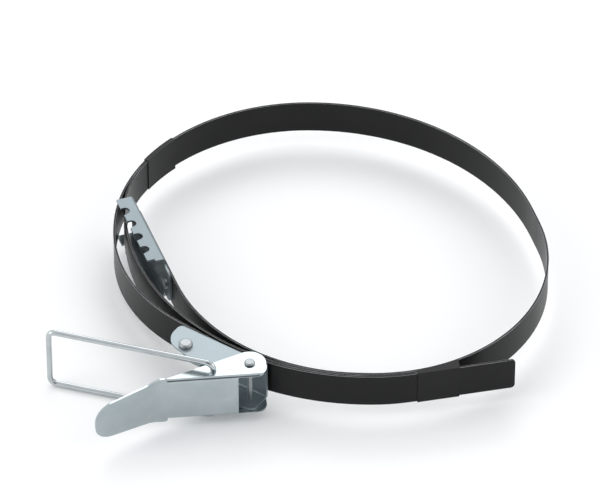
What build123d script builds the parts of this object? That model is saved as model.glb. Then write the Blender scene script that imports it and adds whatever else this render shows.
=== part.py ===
"""Quick-release band clamp with a toggle latch and a notched catch rack.

Frame: millimetres, +Z up along the axis of the band, z = 0 at half the band's height.
The origin is the centre of the arc that the innermost turn clamps with.  The toggle sits
at the front (-Y); the catch rack sits at the left (-X), where the relaxed coil lets it lie.
Every flat strip is drawn by its inner face and walked counter-clockwise seen from above.
"""
import os
from math import asin, cos, degrees, radians, sin, tan

from build123d import *

os.makedirs("parts", exist_ok=True)

# ---------------------------------------------------------------- driving dimensions
band_width = 25.0
band_thickness = 1.2
rest_gap = 0.05               # air between sheets that lie on each other
keeper_wall = 0.5
lap_gap = 0.6                 # air between the gripping turn and the bridge strip
cut_reach = 400.0             # size of a cut that clears everything on one side

clamp_radius = 120.3          # inner face of the turn that grips
lap_heading = -2.5            # heading where the gripping arc begins
lap_run = 6.0                 # straight run before the gripping arc
hook_arc_radius = 134.5       # inner face between the rack and the lap
rack_heading = -70.5          # heading of the straight end that carries the rack
rack_run = 84.7               # length of that straight end
band_end_corner = 4.0

grip_angle = 109.0            # arc length of the gripping arc, degrees
side_run = 14.6
far_radius = 160.9
left_radius = 133.4
left_run = 3.3
toggle_arc_radius = 119.8
toggle_arc_angle = 51.0
tail_arc_radius = 168.8
tongue_lift = 12.0            # arc on which the tongue still lies on the turn below
tongue_run = 71.4
tongue_corner = 3.0

bridge_lap_start = 137.0      # left keeper zone, about the centre of the left arc
bridge_lap_angle = 11.7
bridge_bow_radius = 95.8
bridge_bow_angle = 39.9
bridge_run = 10.0
bridge_end_heading = 27.4

left_keeper_start = 135.4
left_keeper_angle = 12.8
right_keeper_start = 14.0     # about the centre of the gripping arc
right_keeper_angle = 14.1
right_keeper_lead = 4.0       # stations of the keeper's ends on the straight tongue
right_keeper_end = 33.0

sheet = 1.5                   # sheet of the bracket, the lever and the rack
bend_inner = 0.8              # inner radius of the folded sheet
bend_outer = bend_inner + sheet
corner_break = 1.2            # small rounded corners of the sheared sheet

bracket_height = 31.0
bracket_heading = -34.4       # heading of the band where the bracket's web touches it
bracket_right = -33.2         # web end toward the lever pivot
bracket_shoulder = 3.3        # where the ear ends and the slope begins
bracket_shoulder_run = 3.4
bracket_slope_top = 25.0
bracket_slope_end = 17.0
bracket_top_edge = 27.2       # flange edge at the shoulder, outward from the web
bracket_ear_side = 37.2       # the upper flange ends in an ear that the lower one lacks
bracket_ear_low = 19.8        # the edge slopes down to here at the ear's end
bracket_foot_radius = 5.5     # where the ear meets the web
bracket_ear_radius = 14.0
bracket_nose_radius = 4.0
lower_flange_end = 18.0
stud_at = (22.4, 16.5)        # along the web to the left, outward
stud_radius = 3.0
stud_head_radius = 4.75
stud_head_height = 2.8
stud_back_height = 1.4

pivot_at = (-24.6, 8.7)       # along the web to the left, outward
pivot_radius = 2.0
pivot_head_radius = 3.6
pivot_head_height = 1.5
side_clearance = 0.3          # air beside moving sheet metal
running_clearance = 0.05      # radial, pins and wire ends in their holes

lever_heading = 185.75        # the handle points to the left and slightly outward
lever_ear_radius = 11.0
lever_ear_back = 11.0
lever_edge_slope = 21.3       # rise of the ring-side flange edge, degrees
lever_edge_offset = 12.5
lever_web_start = 8.7
lever_web_out = 12.4
lever_flange_end = 58.0
lever_back_corner = 8.0
blade_start = 56.5
blade_bend_at = 58.5
blade_bend_angle = 25.5
blade_bend_radius = 22.0
blade_length = 42.8
shoulder_half_width = 19.0    # widest, just behind the channel
shoulder_end = 61.0
waist_half_width = 16.6
waist_at = 70.0
tip_half_width = 13.6
tip_corner = 13.0
shoulder_corner = 2.0

bail_hole_at = (24.8, 4.6)    # along the handle, outward, from the pivot
bail_wire_radius = 2.0
bail_heading = 163.7
bail_length = 116.0
bail_half_span = 23.05
bail_bend_radius = 5.0
bail_end_inset = 14.2         # wire ends, from half height

rack_height = 34.5
rack_depth = 12.4
rack_tab_start = 9.4          # stations along the straight end, from the hook arc
rack_flange_start = 23.0
rack_end = 93.0
rack_tab_width = 25.0
rack_tab_corner = 6.0
notch_pitch = 14.25
notch_width = 6.9
notch_depth = 5.4
notch_first = 13.7            # middle of the first mouth, from the free end
notch_tilt = 17.0             # the notches lean toward the free end as they go in
notch_count = 4
end_step_depth = 5.3
end_step_length = 2.2

rivet_radius = 2.0
rivet_head_radius = 4.0
rivet_head_height = 1.6
rivet_back_height = 0.9
bracket_rivet_sink = 0.65     # longer shank of the bracket rivets
head_rim = 0.35               # shares of a formed head's height and radius
head_shoulder = 0.9
head_flat = 0.62
rack_rivet_stations = (17.5, 55.0)
bracket_rivet_stations = (-8.5, 10.5)


# ---------------------------------------------------------------- plan geometry
def ahead(angle):
    """Unit vector for a heading in degrees."""
    return Vector(cos(radians(angle)), sin(radians(angle)), 0)


def left(angle):
    """Unit vector to the left of a heading."""
    return ahead(angle + 90)


def walk(point, heading, route):
    """End point and heading after a route of (radius or None, degrees or length) steps."""
    for radius, size in route:
        if radius is None:
            point = point + ahead(heading) * size
        else:
            centre = point + left(heading) * radius
            heading = heading + size
            point = centre - left(heading) * radius
    return point, heading


def draw_route(point, heading, route, shift):
    """Draw a route moved to the right by shift, inside the open BuildLine."""
    point = point - left(heading) * shift
    for radius, size in route:
        if radius is None:
            segment = Line(point, point + ahead(heading) * size)
        else:
            segment = JernArc(point, ahead(heading), radius + shift, size)
            heading = heading + size
        point = segment @ 1
    return point


def strip_outline(point, heading, route, inner, outer):
    """Closed outline between two offsets of a route, inside the open BuildSketch."""
    with BuildLine() as outline:
        inner_end = draw_route(point, heading, route, inner)
        outer_end = draw_route(point, heading, route, outer)
        Line(inner_end, outer_end)
        Line(point - left(heading) * inner, point - left(heading) * outer)
    make_face(outline.edges())


def plan_plane(origin, heading):
    """Plan plane at half height with local x along a heading and local y to its left."""
    return Plane(origin, x_dir=ahead(heading), z_dir=(0, 0, 1))


def upright_plane(origin, heading):
    """Upright plane holding a heading (local x) and +Z (local y)."""
    return Plane(origin, x_dir=ahead(heading), z_dir=ahead(heading - 90))


def rivet_body(frame, start, end, shank, start_head, end_head):
    """Revolve a shank from start to end along local y with two (radius, height) formed heads."""
    with BuildSketch(frame) as profile:
        with BuildLine():
            tips = []
            for base, direction, (radius, height) in ((start, -1, start_head), (end, 1, end_head)):
                rim = base + direction * height * head_rim
                tip = base + direction * height
                Polyline((shank, base), (radius, base), (radius, rim))
                ThreePointArc(
                    (radius, rim),
                    (radius * head_shoulder, (rim + 3 * tip) / 4),
                    (radius * head_flat, tip),
                )
                Line((radius * head_flat, tip), (0, tip))
                tips.append((0, tip))
            Line((shank, start), (shank, end))
            Line(*tips)
        make_face()
    revolve(profile.sketch, axis=Axis(frame.origin, frame.y_dir))


# ---------------------------------------------------------------- route of the main band
lap_start = left(lap_heading) * -clamp_radius
hook_arc_end = lap_start - ahead(lap_heading) * lap_run
hook_arc_centre = hook_arc_end + left(lap_heading) * hook_arc_radius
hook_arc_start = hook_arc_centre - left(rack_heading) * hook_arc_radius
band_start = hook_arc_start - ahead(rack_heading) * rack_run

bridge_radius = clamp_radius + band_thickness + lap_gap
tongue_radius = bridge_radius + band_thickness + rest_gap
loop_route = [
    (None, rack_run),
    (hook_arc_radius, lap_heading - rack_heading),
    (None, lap_run),
    (clamp_radius, grip_angle),
    (None, side_run),
    (far_radius, 180 - lap_heading - grip_angle),
]
loop_end, loop_heading = walk(band_start, rack_heading, loop_route)
left_centre = loop_end + left(loop_heading) * left_radius
toggle_route = [
    (left_radius, 90),
    (None, left_run),
    (toggle_arc_radius, toggle_arc_angle),
]
toggle_start, toggle_heading = walk(loop_end, loop_heading, toggle_route)
tail_turn = 360 - toggle_heading
tail_drop = tail_arc_radius * (1 - cos(radians(tail_turn)))
toggle_run = (toggle_start.Y + tongue_radius - tail_drop) / sin(radians(tail_turn))
tail_arc_start = toggle_start + ahead(toggle_heading) * toggle_run
tail_centre = tail_arc_start + left(toggle_heading) * tail_arc_radius
tail_run = -tail_centre.X
band_route = loop_route + toggle_route + [
    (None, toggle_run),
    (tail_arc_radius, tail_turn),
    (None, tail_run),
    (tongue_radius, tongue_lift),
    (None, tongue_run),
]

# frames of the hardware on the band
bracket_out = tail_arc_radius + band_thickness + rest_gap
bracket_origin = tail_centre - left(bracket_heading) * bracket_out
bracket_frame = plan_plane(bracket_origin, bracket_heading + 180)
rack_origin = hook_arc_start - left(rack_heading) * (band_thickness + rest_gap)
rack_frame = plan_plane(rack_origin, rack_heading + 180)
pivot = bracket_frame.from_local_coords(Vector(*pivot_at, 0))
stud = bracket_frame.from_local_coords(Vector(*stud_at, 0))
lever_frame = plan_plane(pivot, lever_heading)
bail_hole = lever_frame.from_local_coords(Vector(*bail_hole_at, 0))


def rivet_frames(frame, stations):
    """Plan frames at stations along a web: local y runs outward through the web."""
    return [
        Plane(frame.from_local_coords(Vector(station, 0, 0)), x_dir=frame.x_dir, z_dir=(0, 0, 1))
        for station in stations
    ]


rack_rivet_frames = rivet_frames(rack_frame, rack_rivet_stations)
bracket_rivet_frames = rivet_frames(bracket_frame, bracket_rivet_stations)
rivet_start = -band_thickness - 2 * rest_gap
bracket_rivet_start = rivet_start - bracket_rivet_sink   # the band curves away behind the flat web


def drill_rivet_holes(frames):
    """Cut the rivet holes square through strip and web."""
    for frame in frames:
        hole_plane = Plane(frame.origin, x_dir=(0, 0, 1), z_dir=frame.y_dir)
        with BuildSketch(hole_plane) as hole:
            Circle(rivet_radius)
        extrude(hole.sketch, amount=2 * sheet, both=True, mode=Mode.SUBTRACT)


with BuildPart() as main_band:
    with BuildSketch():
        strip_outline(band_start, rack_heading, band_route, 0, band_thickness)
    extrude(amount=band_width / 2, both=True)
    end_corners = main_band.edges().filter_by(
        lambda edge: abs(edge.length - band_thickness) < 0.001
    )
    fillet(end_corners.group_by(Axis.X)[-1], tongue_corner)
    fillet(end_corners.group_by(Axis.X)[0], band_end_corner)
    drill_rivet_holes(rack_rivet_frames)
    drill_rivet_holes(bracket_rivet_frames)
main_band.part.label = "main_band"
export_step(main_band.part, "parts/main_band.step")

# ---------------------------------------------------------------- bridge strip under the toggle gap
bridge_lap_radius = left_radius - band_thickness - rest_gap
bridge_start = left_centre + ahead(bridge_lap_start) * bridge_lap_radius
bridge_heading = bridge_lap_start + 90
bow_route = [
    (bridge_lap_radius, bridge_lap_angle),
    (bridge_bow_radius, bridge_bow_angle),
    (None, bridge_run),
]
bow_end, bow_heading = walk(bridge_start, bridge_heading, bow_route)
contact_radius = hook_arc_radius + band_thickness + lap_gap
bow_offset = bow_end - hook_arc_centre
sweep_radius = (contact_radius**2 - bow_offset.length**2) / (
    2 * (bow_offset.dot(left(bow_heading)) + contact_radius)
)
sweep_centre = bow_end + left(bow_heading) * sweep_radius
contact_ray = (hook_arc_centre - sweep_centre).normalized()
contact_heading = degrees(asin(contact_ray.X))
sweep_angle = contact_heading + 360 - bow_heading
bridge_route = bow_route + [
    (sweep_radius, sweep_angle),
    (contact_radius, lap_heading - contact_heading),
    (None, lap_run),
    (bridge_radius, bridge_end_heading - lap_heading),
]

with BuildPart() as bridge_strip:
    with BuildSketch():
        strip_outline(bridge_start, bridge_heading, bridge_route, 0, band_thickness)
    extrude(amount=band_width / 2, both=True)
    end_corners = bridge_strip.edges().filter_by(
        lambda edge: abs(edge.length - band_thickness) < 0.001
    )
    fillet(end_corners, tongue_corner)
bridge_strip.part.label = "bridge_strip"
export_step(bridge_strip.part, "parts/bridge_strip.step")

# ---------------------------------------------------------------- keepers round the strips
cavity_height = band_width + 2 * rest_gap
keeper_height = cavity_height + 2 * keeper_wall

left_keeper_point = left_centre + ahead(left_keeper_start) * left_radius
left_keeper_heading = left_keeper_start + 90
left_keeper_route = [(left_radius, left_keeper_angle)]
cavity_inner = -band_thickness - 2 * rest_gap
cavity_outer = band_thickness + rest_gap


def left_keeper_outline(inner, outer):
    """Band-shaped outline of the left keeper between two offsets."""
    strip_outline(left_keeper_point, left_keeper_heading, left_keeper_route, inner, outer)


with BuildPart() as keeper_left:
    with BuildSketch():
        left_keeper_outline(cavity_inner - keeper_wall, cavity_outer + keeper_wall)
    extrude(amount=keeper_height / 2, both=True)
    with BuildSketch():
        left_keeper_outline(cavity_inner, cavity_outer)
    extrude(amount=cavity_height / 2, both=True, mode=Mode.SUBTRACT)
keeper_left.part.label = "keeper_left"
export_step(keeper_left.part, "parts/keeper_left.step")

tongue_start, tongue_heading = walk(Vector(0, -tongue_radius, 0), 0, [(tongue_radius, tongue_lift)])

def right_keeper_outline(growth, overrun):
    """Wedge between the bridge strip and the straight tongue, grown by a wall or overrun."""
    inner_radius = bridge_radius - rest_gap - growth
    outer_shift = band_thickness + rest_gap + growth
    outer_line_start = tongue_start - left(tongue_heading) * outer_shift
    with BuildLine() as outline:
        inner_arc = JernArc(
            left(right_keeper_start - overrun) * -inner_radius,
            ahead(right_keeper_start - overrun),
            inner_radius,
            right_keeper_angle + 2 * overrun,
        )
        outer_line = Line(
            outer_line_start + ahead(tongue_heading) * (right_keeper_lead - 2 * overrun),
            outer_line_start + ahead(tongue_heading) * (right_keeper_end + 2 * overrun),
        )
        Line(inner_arc @ 0, outer_line @ 0)
        Line(inner_arc @ 1, outer_line @ 1)
    make_face(outline.edges())


with BuildPart() as keeper_right:
    with BuildSketch():
        right_keeper_outline(keeper_wall, 0)
    extrude(amount=keeper_height / 2, both=True)
    with BuildSketch():
        right_keeper_outline(0, 1)
    extrude(amount=cavity_height / 2, both=True, mode=Mode.SUBTRACT)
keeper_right.part.label = "keeper_right"
export_step(keeper_right.part, "parts/keeper_right.step")

# ---------------------------------------------------------------- toggle bracket
bracket_corners = [
    (bracket_right, 0),
    (bracket_ear_side, 0),
    (bracket_ear_side, bracket_ear_low),
    (bracket_shoulder, bracket_top_edge),
    (bracket_shoulder - bracket_shoulder_run, bracket_slope_top),
    (bracket_right, bracket_slope_end),
]
bracket_roundings = [
    (bracket_corners[1], bracket_foot_radius),
    (bracket_corners[2], bracket_ear_radius),
    (bracket_corners[3], 2 * corner_break),
    (bracket_corners[4], 2 * corner_break),
    (bracket_corners[5], bracket_nose_radius),
]


def corners_near(vertices, points, reach=0.01):
    """Vertices of a flat outline that lie on given local points."""
    return vertices.filter_by(
        lambda vertex: any(
            (Vector(vertex.X, vertex.Y, 0) - Vector(*point, 0)).length < reach for point in points
        )
    )


def edges_at(builder, frame, offset, height):
    """Straight edges along a frame's x at a local y offset and at plus or minus a height."""
    def lies_there(edge):
        local = frame.to_local_coords(edge.center())
        return abs(local.Y - offset) < 0.01 and abs(abs(local.Z) - height) < 0.01

    return builder.edges().filter_by(Axis(frame.origin, frame.x_dir)).filter_by(lies_there)


with BuildPart() as bracket:
    with BuildSketch(bracket_frame):
        with BuildLine():
            Polyline(*bracket_corners, close=True)
        make_face()
    extrude(amount=bracket_height / 2, both=True)
    fillet(edges_at(bracket, bracket_frame, 0, bracket_height / 2), bend_outer)
    with BuildSketch(bracket_frame):
        with Locations((0, sheet)):
            Rectangle(cut_reach, cut_reach, align=(Align.CENTER, Align.MIN))
    extrude(amount=bracket_height / 2 - sheet, both=True, mode=Mode.SUBTRACT)
    fillet(edges_at(bracket, bracket_frame, sheet, bracket_height / 2 - sheet), bend_inner)
    with BuildSketch(bracket_frame) as bracket_side:
        with BuildLine():
            Polyline(*bracket_corners, close=True)
        make_face()
        for corner, corner_radius in bracket_roundings:
            fillet(corners_near(bracket_side.vertices(), [corner]), corner_radius)
    extrude(amount=bracket_height, both=True, mode=Mode.INTERSECT)
    with BuildSketch(bracket_frame):
        with Locations((lower_flange_end, sheet)):
            Rectangle(cut_reach, cut_reach, align=(Align.MIN, Align.MIN))
    extrude(amount=-bracket_height, mode=Mode.SUBTRACT)
    with BuildSketch(Plane(stud, z_dir=(0, 0, 1))):
        Circle(stud_radius)
    extrude(amount=bracket_height, mode=Mode.SUBTRACT)
    with BuildSketch(Plane(pivot, z_dir=(0, 0, 1))):
        Circle(pivot_radius)
    extrude(amount=bracket_height, both=True, mode=Mode.SUBTRACT)
    drill_rivet_holes(bracket_rivet_frames)
bracket.part.label = "bracket"
export_step(bracket.part, "parts/bracket.step")

# ---------------------------------------------------------------- rivets of the bracket
with BuildPart() as bracket_rivets:
    for rivet_frame in bracket_rivet_frames:
        rivet_body(
            rivet_frame,
            bracket_rivet_start,
            sheet,
            rivet_radius,
            (rivet_head_radius, rivet_back_height),
            (rivet_head_radius, rivet_head_height),
        )
bracket_rivets.part.label = "bracket_rivets"
export_step(bracket_rivets.part, "parts/bracket_rivets.step")

# ---------------------------------------------------------------- stud in the bracket's ear
stud_frame = upright_plane(stud, 0)
with BuildPart() as ear_stud:
    rivet_body(
        stud_frame,
        bracket_height / 2 - sheet,
        bracket_height / 2,
        stud_radius,
        (stud_head_radius, stud_back_height),
        (stud_head_radius, stud_head_height),
    )
ear_stud.part.label = "ear_stud"
export_step(ear_stud.part, "parts/ear_stud.step")

# ---------------------------------------------------------------- pivot pin of the lever
lever_inner_height = bracket_height + 2 * side_clearance
lever_height = lever_inner_height + 2 * sheet
pivot_grip = lever_height / 2 + side_clearance
with BuildPart() as pivot_pin:
    rivet_body(
        upright_plane(pivot, 0),
        -pivot_grip,
        pivot_grip,
        pivot_radius,
        (pivot_head_radius, pivot_head_height),
        (pivot_head_radius, pivot_head_height),
    )
pivot_pin.part.label = "pivot_pin"
export_step(pivot_pin.part, "parts/pivot_pin.step")

# ---------------------------------------------------------------- lever
lever_rise = tan(radians(lever_edge_slope))
lever_corners = [
    (lever_flange_end, lever_web_out),
    (-lever_ear_back, lever_web_out),
    (-lever_ear_back, -lever_edge_offset - lever_rise * lever_ear_back),
    (lever_flange_end, -lever_edge_offset + lever_rise * lever_flange_end),
]
blade_neutral = lever_web_out - sheet
blade_rise = blade_bend_radius * sin(radians(blade_bend_angle))
blade_tip = blade_bend_at + blade_rise + blade_length * cos(radians(blade_bend_angle))
blade_plane = upright_plane(lever_frame.origin, lever_heading)
blade_corners = [
    (blade_start, shoulder_half_width, shoulder_corner),
    (shoulder_end, shoulder_half_width, 2 * shoulder_corner),
    (waist_at, waist_half_width, tip_corner),
    (blade_tip, tip_half_width, tip_corner),
]

with BuildPart() as blade:
    with BuildSketch(lever_frame):
        with BuildLine():
            web_line = Line((blade_start, blade_neutral), (blade_bend_at, blade_neutral))
            inner_bend = JernArc(web_line @ 1, (1, 0), blade_bend_radius, blade_bend_angle)
            inner_tip = Line(inner_bend @ 1, inner_bend @ 1 + inner_bend % 1 * blade_length)
            top_line = Line((blade_start, lever_web_out), (blade_bend_at, lever_web_out))
            outer_bend = JernArc(top_line @ 1, (1, 0), blade_bend_radius - sheet, blade_bend_angle)
            outer_tip = Line(outer_bend @ 1, outer_bend @ 1 + outer_bend % 1 * blade_length)
            Line(web_line @ 0, top_line @ 0)
            Line(inner_tip @ 1, outer_tip @ 1)
        make_face()
    extrude(amount=shoulder_half_width, both=True)
    with BuildSketch(blade_plane) as blade_outline:
        with BuildLine():
            Polyline(
                (blade_start, -shoulder_half_width),
                (shoulder_end, -shoulder_half_width),
                (waist_at, -waist_half_width),
                (blade_tip, -tip_half_width),
                (blade_tip, tip_half_width),
                (waist_at, waist_half_width),
                (shoulder_end, shoulder_half_width),
                (blade_start, shoulder_half_width),
                close=True,
            )
        make_face()
        for station, width, corner_radius in blade_corners:
            corners = [(station, -width), (station, width)]
            fillet(corners_near(blade_outline.vertices(), corners), corner_radius)
    extrude(amount=cut_reach, both=True, mode=Mode.INTERSECT)

with BuildPart() as lever:
    with BuildSketch(lever_frame):
        with BuildLine():
            Polyline(*lever_corners, close=True)
        make_face()
    extrude(amount=lever_height / 2, both=True)
    fillet(edges_at(lever, lever_frame, lever_web_out, lever_height / 2), bend_outer)
    with BuildSketch(lever_frame):
        with Locations((0, lever_web_out - sheet)):
            Rectangle(cut_reach, cut_reach, align=(Align.CENTER, Align.MAX))
    extrude(amount=lever_inner_height / 2, both=True, mode=Mode.SUBTRACT)
    fillet(edges_at(lever, lever_frame, lever_web_out - sheet, lever_inner_height / 2), bend_inner)
    with BuildSketch(lever_frame):
        with Locations((lever_web_start, 0)):
            Rectangle(cut_reach, cut_reach, align=(Align.MAX, Align.CENTER))
    extrude(amount=lever_inner_height / 2, both=True, mode=Mode.SUBTRACT)
    with BuildSketch(lever_frame) as lever_side:
        with BuildLine():
            Polyline(*lever_corners, close=True)
        make_face()
        fillet(corners_near(lever_side.vertices(), lever_corners[1:2]), lever_back_corner)
        fillet(corners_near(lever_side.vertices(), lever_corners[2:3]), lever_ear_radius)
    extrude(amount=lever_height, both=True, mode=Mode.INTERSECT)
    add(blade.part)
    with BuildSketch(Plane(pivot, z_dir=(0, 0, 1))):
        Circle(pivot_radius + running_clearance)
    extrude(amount=lever_height, both=True, mode=Mode.SUBTRACT)
    with BuildSketch(Plane(bail_hole, z_dir=(0, 0, 1))):
        Circle(bail_wire_radius + running_clearance)
    extrude(amount=lever_height, both=True, mode=Mode.SUBTRACT)
lever.part.label = "lever"
export_step(lever.part, "parts/lever.step")

# ---------------------------------------------------------------- wire bail
bail_plane = upright_plane(bail_hole, bail_heading)
with BuildPart() as bail:
    with BuildLine(bail_plane) as bail_wire:
        FilletPolyline(
            (0, -bail_end_inset),
            (0, -bail_half_span),
            (bail_length, -bail_half_span),
            (bail_length, bail_half_span),
            (0, bail_half_span),
            (0, bail_end_inset),
            radius=bail_bend_radius,
        )
    with BuildSketch(bail_wire.line ^ 0):
        Circle(bail_wire_radius)
    sweep()
bail.part.label = "bail"
export_step(bail.part, "parts/bail.step")

# ---------------------------------------------------------------- notched catch rack
notch_floor = rack_depth - notch_depth
with BuildPart() as rack:
    with BuildSketch(rack_frame):
        with Locations((rack_flange_start, 0)):
            Rectangle(rack_end - rack_flange_start, rack_depth, align=(Align.MIN, Align.MIN))
    extrude(amount=rack_height / 2, both=True)
    fillet(edges_at(rack, rack_frame, 0, rack_height / 2), bend_outer)
    with BuildSketch(rack_frame):
        with Locations((0, sheet)):
            Rectangle(cut_reach, cut_reach, align=(Align.CENTER, Align.MIN))
    extrude(amount=rack_height / 2 - sheet, both=True, mode=Mode.SUBTRACT)
    fillet(edges_at(rack, rack_frame, sheet, rack_height / 2 - sheet), bend_inner)
    with BuildSketch(rack_frame):
        for index in range(notch_count):
            mouth = rack_end - notch_first - index * notch_pitch
            with Locations(Location((mouth, rack_depth, 0), (0, 0, notch_tilt))):
                Rectangle(notch_width, 2 * (notch_depth - notch_width / 2))
                with Locations((0, notch_width / 2 - notch_depth)):
                    Circle(notch_width / 2)
        with Locations((rack_flange_start, rack_depth)):
            Rectangle(2 * end_step_length, 2 * end_step_depth)
    extrude(amount=rack_height, both=True, mode=Mode.SUBTRACT)
    tab_plane = upright_plane(rack_origin, rack_heading + 180)
    with BuildSketch(tab_plane) as tab_outline:
        with Locations((rack_tab_start, 0)):
            Rectangle(
                rack_flange_start - rack_tab_start + bend_outer,
                rack_tab_width,
                align=(Align.MIN, Align.CENTER),
            )
        fillet(tab_outline.vertices().group_by(Axis.X)[0], rack_tab_corner)
    extrude(amount=-sheet)
    drill_rivet_holes(rack_rivet_frames)
rack.part.label = "rack"
export_step(rack.part, "parts/rack.step")

# ---------------------------------------------------------------- rivets of the rack
with BuildPart() as rack_rivets:
    for rivet_frame in rack_rivet_frames:
        rivet_body(
            rivet_frame,
            rivet_start,
            sheet,
            rivet_radius,
            (rivet_head_radius, rivet_back_height),
            (rivet_head_radius, rivet_head_height),
        )
rack_rivets.part.label = "rack_rivets"
export_step(rack_rivets.part, "parts/rack_rivets.step")
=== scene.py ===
"""Looks, light and camera for the quick-release band clamp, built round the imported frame.

Everything is in metres in the row frame: +Z along the band's axis, -Y to the front.
"""

import math

import bpy
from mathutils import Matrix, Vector


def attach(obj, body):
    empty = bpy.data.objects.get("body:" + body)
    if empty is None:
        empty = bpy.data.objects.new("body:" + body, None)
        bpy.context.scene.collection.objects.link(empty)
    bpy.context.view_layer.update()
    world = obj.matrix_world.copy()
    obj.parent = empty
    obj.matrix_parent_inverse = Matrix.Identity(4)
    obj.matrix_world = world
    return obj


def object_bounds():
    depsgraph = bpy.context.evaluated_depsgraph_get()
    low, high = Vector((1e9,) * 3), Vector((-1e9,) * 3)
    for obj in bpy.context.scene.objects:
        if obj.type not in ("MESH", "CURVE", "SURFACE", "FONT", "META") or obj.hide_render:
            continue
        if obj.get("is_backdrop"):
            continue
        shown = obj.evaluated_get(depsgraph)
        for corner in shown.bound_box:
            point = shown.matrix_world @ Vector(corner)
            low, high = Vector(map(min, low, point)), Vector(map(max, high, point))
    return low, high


MM = 0.001

# camera: long lens, looking along +Y and down
CAMERA_DISTANCE = 3.95
CAMERA_DOWN = math.radians(41.0)
LENS = 342.0
SENSOR = 36.0
AIM = Vector((-49.0, 34.0, -12.5)) * MM    # from the row origin

# light
BACK_BOX_RISE = math.radians(41.0)         # mirrors the camera's downward angle
BOX_DISTANCE = 2.6
DARK_RADIUS = math.radians(25.0)           # unlit patch of the room round the viewing side
DARK_FADE = 0.04                           # half width of its soft edge, as a cosine
ROOM_TONE = (0.97, 0.985, 1.0)
DARK_TONE = (0.10, 0.10, 0.11)

# floor
FLOOR_REACH = 6.0
FLOOR_GAP = 0.2 * MM
FLOOR_LOW = (0.975, 0.975, 0.975)
FLOOR_HIGH = (0.985, 0.985, 0.985)
FLOOR_GLOW = 0.06                          # keeps the backdrop near blank white

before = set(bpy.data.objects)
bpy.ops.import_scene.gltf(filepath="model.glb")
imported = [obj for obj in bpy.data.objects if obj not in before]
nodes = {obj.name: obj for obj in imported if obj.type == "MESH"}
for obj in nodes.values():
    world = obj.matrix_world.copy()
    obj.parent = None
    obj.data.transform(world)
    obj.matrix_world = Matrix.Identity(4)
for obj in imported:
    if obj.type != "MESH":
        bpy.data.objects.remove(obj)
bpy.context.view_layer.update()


# ------------------------------------------------------------------ node helpers
def new_material(name):
    """Empty node material with a principled shader."""
    material = bpy.data.materials.new(name)
    material.use_nodes = True
    tree = material.node_tree
    shader = tree.nodes["Principled BSDF"]
    return material, tree, shader


def object_points(tree, stretch=(1.0, 1.0, 1.0)):
    """Object coordinates, stretched."""
    coordinates = tree.nodes.new("ShaderNodeTexCoord")
    mapping = tree.nodes.new("ShaderNodeMapping")
    mapping.inputs["Scale"].default_value = stretch
    tree.links.new(coordinates.outputs["Object"], mapping.inputs["Vector"])
    return mapping.outputs["Vector"]


def noise(tree, points, scale, detail=4.0, roughness=0.55):
    """Noise value socket."""
    node = tree.nodes.new("ShaderNodeTexNoise")
    node.inputs["Scale"].default_value = scale
    node.inputs["Detail"].default_value = detail
    node.inputs["Roughness"].default_value = roughness
    tree.links.new(points, node.inputs["Vector"])
    return node.outputs["Fac"]


def ramp(tree, value, stops):
    """Colour ramp over (position, colour) stops."""
    node = tree.nodes.new("ShaderNodeValToRGB")
    elements = node.color_ramp.elements
    while len(elements) < len(stops):
        elements.new(0.5)
    for element, (position, colour) in zip(elements, stops):
        element.position = position
        element.color = (*colour, 1.0)
    tree.links.new(value, node.inputs["Fac"])
    return node.outputs["Color"]


def spread(tree, value, low, high, start=0.3, end=0.7):
    """Map a value from start..end to low..high."""
    node = tree.nodes.new("ShaderNodeMapRange")
    node.inputs["From Min"].default_value = start
    node.inputs["From Max"].default_value = end
    node.inputs["To Min"].default_value = low
    node.inputs["To Max"].default_value = high
    tree.links.new(value, node.inputs["Value"])
    return node.outputs["Result"]


def bump(tree, shader, height, strength, distance):
    """Bump from a height socket."""
    node = tree.nodes.new("ShaderNodeBump")
    node.inputs["Strength"].default_value = strength
    node.inputs["Distance"].default_value = distance
    tree.links.new(height, node.inputs["Height"])
    tree.links.new(node.outputs["Normal"], shader.inputs["Normal"])


# ------------------------------------------------------------------ materials
def black_strip(name, dark, light, rough_low, rough_high):
    """Satin black lacquer on steel strip: fine rolled grain, faint rubbed patches."""
    material, tree, shader = new_material(name)
    patches = noise(tree, object_points(tree), 22.0, 5.0)
    grain = noise(tree, object_points(tree, (1.0, 1.0, 9.0)), 900.0, 3.0)
    colour = ramp(tree, patches, [(0.30, dark), (0.72, light)])
    tree.links.new(colour, shader.inputs["Base Color"])
    tree.links.new(spread(tree, patches, rough_low, rough_high), shader.inputs["Roughness"])
    shader.inputs["Specular IOR Level"].default_value = 0.2
    bump(tree, shader, grain, 0.06, 0.05 * MM)
    return material


def zinc(name, dark, light, rough_low, rough_high, grain_scale=420.0):
    """Bright zinc plate: bluish, faintly mottled, with a fine drawn grain."""
    material, tree, shader = new_material(name)
    cloud = noise(tree, object_points(tree), 70.0, 6.0, 0.6)
    grain = noise(tree, object_points(tree, (1.0, 6.0, 1.0)), grain_scale, 4.0)
    colour = ramp(tree, cloud, [(0.28, dark), (0.74, light)])
    tree.links.new(colour, shader.inputs["Base Color"])
    shader.inputs["Metallic"].default_value = 1.0
    tree.links.new(spread(tree, cloud, rough_low, rough_high), shader.inputs["Roughness"])
    bump(tree, shader, grain, 0.10, 0.04 * MM)
    return material


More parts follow.
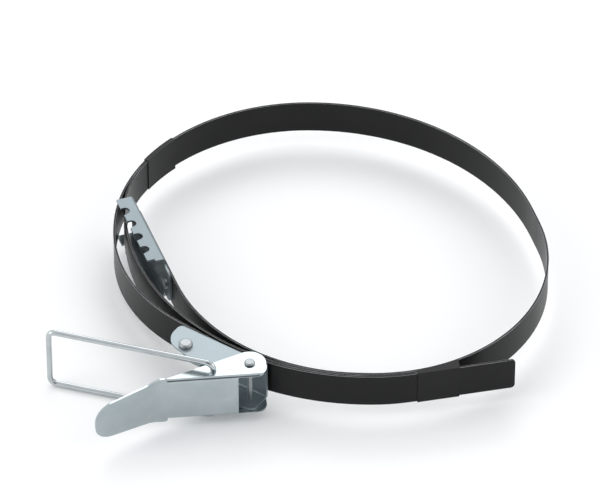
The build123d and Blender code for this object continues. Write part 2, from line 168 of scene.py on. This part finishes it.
BAND = black_strip(
    "satin_black_strip", (0.0050, 0.0050, 0.0052), (0.0090, 0.0090, 0.0093), 0.30, 0.40
)
KEEPER = black_strip(
    "satin_black_keeper", (0.0060, 0.0060, 0.0062), (0.0105, 0.0105, 0.0108), 0.32, 0.42
)
LEVER = zinc("zinc_lever", (0.39, 0.445, 0.465), (0.47, 0.52, 0.535), 0.20, 0.28)
BRACKET = zinc("zinc_bracket", (0.30, 0.35, 0.375), (0.38, 0.43, 0.45), 0.42, 0.52)
RACK = zinc("zinc_rack", (0.22, 0.26, 0.28), (0.28, 0.32, 0.34), 0.42, 0.52)
RIVET = zinc("zinc_rivet", (0.30, 0.32, 0.33), (0.38, 0.40, 0.41), 0.30, 0.42)
WIRE = zinc("zinc_wire", (0.44, 0.475, 0.49), (0.56, 0.59, 0.60), 0.10, 0.18)

FINISH = {
    "main_band": BAND,
    "bridge_strip": BAND,
    "keeper_left": KEEPER,
    "keeper_right": KEEPER,
    "bracket": BRACKET,
    "lever": LEVER,
    "rack": RACK,
    "bracket_rivets": RIVET,
    "rack_rivets": RIVET,
    "ear_stud": RIVET,
    "pivot_pin": RIVET,
    "bail": WIRE,
}
for node_name, finish in FINISH.items():
    mesh = nodes[node_name].data
    mesh.materials.clear()
    mesh.materials.append(finish)


# ------------------------------------------------------------------ painted highlight lines on the strip edges
ARRIS_RADIUS = 0.13 * MM
ARRIS_SIDES = 6
SAME_LEVEL = 0.01 * MM


def rim_loops(mesh, level):
    """Closed outlines of the flat faces at a height, as lists of points."""
    count = {}
    for polygon in mesh.polygons:
        ring = [tuple(round(value, 6) for value in mesh.vertices[v].co) for v in polygon.vertices]
        if any(abs(point[2] - level) > SAME_LEVEL for point in ring):
            continue
        for first, second in zip(ring, ring[1:] + ring[:1]):
            key = tuple(sorted((first, second)))
            count[key] = count.get(key, 0) + 1
    links = {}
    for (first, second), uses in sorted(count.items()):
        if uses == 1 and first != second:
            links.setdefault(first, []).append(second)
            links.setdefault(second, []).append(first)
    loops = []
    while links:
        loop = [min(links)]
        while links.get(loop[-1]):
            here = loop[-1]
            after = links[here].pop(0)
            links[after].remove(here)
            loop.append(after)
        links = {point: others for point, others in links.items() if others}
        if len(loop) > 3 and loop[0] == loop[-1]:
            loops.append(loop[:-1])
    return loops


def tube_round(loop, first_index):
    """Vertices and faces of a closed thin tube that follows a level loop."""
    points = [Vector(point) for point in loop]
    verts = []
    faces = []
    total = len(points)
    for index, point in enumerate(points):
        along = (points[(index + 1) % total] - points[index - 1]).normalized()
        side = Vector((along.y, -along.x, 0.0))
        inward = Vector((0.0, 0.0, -math.copysign(ARRIS_RADIUS, point.z)))
        for step in range(ARRIS_SIDES):
            turn = math.tau * step / ARRIS_SIDES
            offset = side * math.cos(turn) + Vector((0.0, 0.0, math.sin(turn)))
            verts.append(point + inward + offset * ARRIS_RADIUS)
    for index in range(total):
        here = first_index + index * ARRIS_SIDES
        after = first_index + ((index + 1) % total) * ARRIS_SIDES
        for step in range(ARRIS_SIDES):
            beside = (step + 1) % ARRIS_SIDES
            faces.append((here + step, after + step, after + beside, here + beside))
    return verts, faces


def add_arris(node_name, body, finish):
    """Thin bright tube along the corners of a strip: a painted highlight standing in for light
    caught on its edges.
    """
    source = nodes[node_name].data
    reach = max(abs(vertex.co.z) for vertex in source.vertices)
    verts = []
    faces = []
    for level in (reach, -reach):
        for loop in rim_loops(source, level):
            more_verts, more_faces = tube_round(loop, len(verts))
            verts += more_verts
            faces += more_faces
    mesh = bpy.data.meshes.new(node_name + "_arris")
    mesh.from_pydata(verts, [], faces)
    mesh.validate()
    mesh.materials.append(finish)
    piece = bpy.data.objects.new(node_name + "_arris", mesh)
    bpy.context.scene.collection.objects.link(piece)
    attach(piece, body)


# painted highlight: the pale metal colour stands in for light caught on the strips' rounded edges
EDGE_HIGHLIGHT = zinc("painted_edge_highlight", (0.16, 0.16, 0.165), (0.46, 0.47, 0.48), 0.25, 0.45)
for strip in ("main_band", "bridge_strip"):
    add_arris(strip, "band", EDGE_HIGHLIGHT)


# ------------------------------------------------------------------ floor, light, camera
low, high = (Vector(corner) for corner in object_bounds())
middle = (low + high) / 2


def make_floor():
    """Plain pale floor under the lowest point."""
    mesh = bpy.data.meshes.new("floor")
    signs = [(-1, -1), (1, -1), (1, 1), (-1, 1)]
    level = low.z - FLOOR_GAP
    corners = [(x * FLOOR_REACH, y * FLOOR_REACH, level) for x, y in signs]
    mesh.from_pydata(corners, [], [(0, 1, 2, 3)])
    floor = bpy.data.objects.new("floor", mesh)
    bpy.context.scene.collection.objects.link(floor)
    material, tree, shader = new_material("pale_floor")
    tone = noise(tree, object_points(tree), 3.0, 2.0)
    colour = ramp(tree, tone, [(0.3, FLOOR_LOW), (0.7, FLOOR_HIGH)])
    tree.links.new(colour, shader.inputs["Base Color"])
    shader.inputs["Roughness"].default_value = 0.9
    shader.inputs["Specular IOR Level"].default_value = 0.1
    shader.inputs["Emission Color"].default_value = (1.0, 1.0, 1.0, 1.0)
    shader.inputs["Emission Strength"].default_value = FLOOR_GLOW
    mesh.materials.append(material)
    floor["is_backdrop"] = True


def area_light(name, place, aim, width, height, power):
    """Soft rectangular light that faces a point."""
    light = bpy.data.lights.new(name, "AREA")
    light.shape = "RECTANGLE"
    light.size = width
    light.size_y = height
    light.energy = power
    lamp = bpy.data.objects.new(name, light)
    lamp.location = place
    lamp.rotation_euler = (Vector(aim) - Vector(place)).to_track_quat("-Z", "Y").to_euler()
    bpy.context.scene.collection.objects.link(lamp)


def make_lights():
    """Big soft box behind, two side boxes and an even pale surround."""
    bpy.context.scene.view_settings.view_transform = "Standard"
    behind = Vector((0.0, math.cos(BACK_BOX_RISE), math.sin(BACK_BOX_RISE)))
    boxes = [
        # name, offset from the object, width, height, watts
        ("back_box", behind * BOX_DISTANCE, 1.8, 0.9, 11.7),
        ("left_box", Vector((-2.0, -0.5, 0.8)), 0.8, 1.0, 8.0),
        ("right_box", Vector((2.0, -0.2, 0.8)), 0.8, 1.0, 6.0),
    ]
    for name, offset, width, height, watts in boxes:
        area_light(name, middle + offset, middle, width, height, watts)
    make_surround()


def make_surround():
    """Pale room with an unlit patch on the viewing side."""
    world = bpy.data.worlds.new("surround")
    bpy.context.scene.world = world
    world.use_nodes = True
    tree = world.node_tree
    coordinates = tree.nodes.new("ShaderNodeTexCoord")
    facing = tree.nodes.new("ShaderNodeVectorMath")
    facing.operation = "DOT_PRODUCT"
    facing.inputs[1].default_value = (0.0, -math.cos(CAMERA_DOWN), math.sin(CAMERA_DOWN))
    tree.links.new(coordinates.outputs["Generated"], facing.inputs[0])
    edge = math.cos(DARK_RADIUS)
    fade = (edge - DARK_FADE, edge + DARK_FADE)
    soft = spread(tree, facing.outputs["Value"], 0.0, 1.0, *fade)
    tone = ramp(tree, soft, [(0.0, ROOM_TONE), (1.0, DARK_TONE)])
    background = tree.nodes["Background"]
    tree.links.new(tone, background.inputs["Color"])
    background.inputs["Strength"].default_value = 1.0


def make_camera():
    """Long-lens camera at the viewing angle."""
    camera = bpy.data.cameras.new("camera")
    camera.lens = LENS
    camera.sensor_width = SENSOR
    camera.clip_end = 20.0
    back = Vector((0.0, -math.cos(CAMERA_DOWN), math.sin(CAMERA_DOWN)))
    eye = bpy.data.objects.new("camera", camera)
    eye.location = AIM + back * CAMERA_DISTANCE
    eye.rotation_euler = (-back).to_track_quat("-Z", "Y").to_euler()
    bpy.context.scene.collection.objects.link(eye)
    bpy.context.scene.camera = eye


make_floor()
make_lights()
make_camera()
